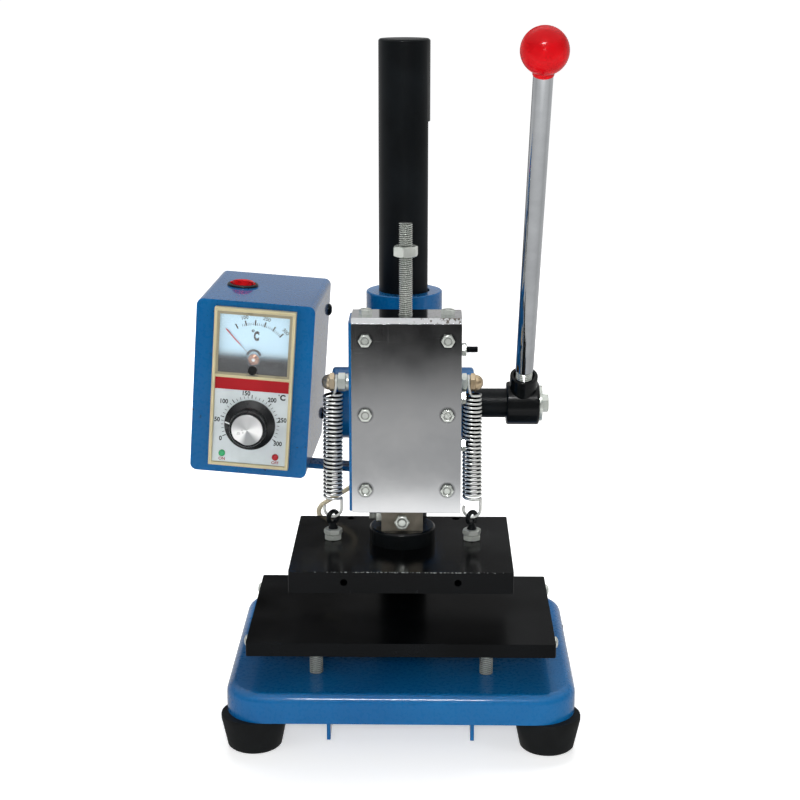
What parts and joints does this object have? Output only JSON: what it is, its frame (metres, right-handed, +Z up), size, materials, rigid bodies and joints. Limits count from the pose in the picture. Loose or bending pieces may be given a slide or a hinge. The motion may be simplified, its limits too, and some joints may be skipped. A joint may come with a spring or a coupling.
{
  "type": "hot foil stamping machine",
  "caption": "Bench hot foil stamping press: hand lever, rack ram with a heated plate, work plate on a round-column stand, and a temperature control box.",
  "frame": {"origin": "the point of the bench under the ram's axis, on the machine's centre line", "axes": "+Z up from the bench, +Y from the operator back to the column, +X to the lever's side, the operator's right"},
  "size_m": [0.2333, 0.2029, 0.419],
  "materials": {
    "blue_paint": "gloss enamel",
    "black_oxide": "satin black",
    "black_plate": "satin black anodised",
    "zinc": "bright zinc",
    "yellow_zinc": "yellow zinc",
    "cover_steel": "brushed",
    "ram_steel": "raw, oiled",
    "gear_steel": "machined",
    "chrome": "polished",
    "bronze": "machined",
    "rubber": "matt",
    "black_plastic": "satin",
    "red_plastic": "gloss",
    "cream_plastic": "satin gloss",
    "panel_grey": "matt print",
    "band_red": "matt print",
    "scale_blue": "matt print",
    "smoke": "ribbed smoke tint",
    "clear": "clear acrylic",
    "spun_aluminium": "spun",
    "lamp_green": "translucent",
    "lamp_red": "translucent",
    "needle_red": "painted",
    "sleeve": "braided glass fibre"
  },
  "bodies": {
    "frame": {"base_pan": "blue_paint", "base_tabs": "blue_paint", "rubber_feet": "rubber", "foot_screws": "zinc", "column": "black_oxide", "column_bolt": "zinc", "platen": "black_oxide", "platen_studs": "zinc", "platen_screws": "zinc"},
    "head": {"head_casting": "blue_paint", "front_cover": "cover_steel", "top_cover": "cover_steel", "cover_bolts": "zinc", "clamp_bolts": "zinc", "gib_strip": "bronze", "gib_screws": "black_oxide", "gib_lock_nuts": "zinc", "shaft_bushes": "bronze", "spring_anchors": "zinc", "spring_cap_nuts": "yellow_zinc", "box_bracket": "blue_paint", "bracket_bolts": "zinc", "box_shell": "blue_paint", "box_back_cover": "blue_paint", "box_side_screws": "black_oxide", "controller_body": "black_plastic", "controller_bezel": "cream_plastic", "band_plate": "band_red", "dial_plate": "panel_grey", "meter_face": "scale_blue", "meter_shroud": "smoke", "meter_window": "clear", "meter_adjuster": "black_plastic", "lamp_green": "lamp_green", "lamp_red": "lamp_red", "switch_bezel": "black_plastic", "lead_grommet": "rubber", "heater_lead": "sleeve", "return_spring_left": "zinc", "return_spring_right": "zinc"},
    "needle": {"meter_needle": "needle_red"},
    "knob": {"temperature_knob": "black_plastic", "knob_cap": "spun_aluminium"},
    "rocker": {"rocker": "red_plastic"},
    "lever": {"lever_shaft": "black_oxide", "pinion": "gear_steel", "lever_hub": "black_oxide", "hub_bolt": "zinc", "lever_rod": "chrome", "ball_knob": "red_plastic"},
    "ram": {"ram_bar": "ram_steel", "stop_rod": "zinc", "ram_flange": "black_oxide", "ram_bolts": "zinc", "heated_plate": "black_plate", "heaters": "zinc", "thermocouple": "zinc", "eye_bolts": "black_oxide", "eye_bolt_nuts": "zinc"},
    "stop_nut": {"stop_nut": "zinc"}
  },
  "joints": [
    {"name": "head_height", "type": "slide", "parent": "frame", "child": "head", "axis": [0, 0, 1], "range_m": [0, 0.1]},
    {"name": "ram_slide", "type": "slide", "parent": "head", "child": "ram", "axis": [0, 0, -1], "range_m": [0, 0.0284], "stiffness_N_per_m": 1600, "springref_m": -0.03, "deforming": ["return_spring_left", "return_spring_right", "heater_lead"]},
    {"name": "lever_swing", "type": "hinge", "parent": "head", "child": "lever", "pos_m": [0, 0.0285, 0.186], "axis": [1, 0, 0], "range_deg": [0, 90.5]},
    {"name": "stop_nut_height", "type": "slide", "parent": "ram", "child": "stop_nut", "axis": [0, 0, 1], "range_m": [-0.005, 0.012]},
    {"name": "temperature_set", "type": "hinge", "parent": "head", "child": "knob", "pos_m": [-0.09004, -0.01395, 0.18402], "axis": [0.0454, 0.999, 0], "range_deg": [-33.6, 206.4]},
    {"name": "power_switch", "type": "hinge", "parent": "head", "child": "rocker", "pos_m": [-0.09804, 0.03396, 0.25951], "axis": [0.9965, -0.0453, -0.0698], "range_deg": [0, 16]},
    {"name": "needle_sweep", "type": "hinge", "parent": "head", "child": "needle", "pos_m": [-0.0873, -0.01408, 0.22323], "axis": [0.0454, 0.999, 0], "range_deg": [0, 90], "stiffness_Nm_per_rad": 0.0001, "springref_deg": -17.19}
  ],
  "couplings": [
    {"joint": "lever_swing", "follows": "ram_slide", "rad_per_m": 55.556}
  ]
}
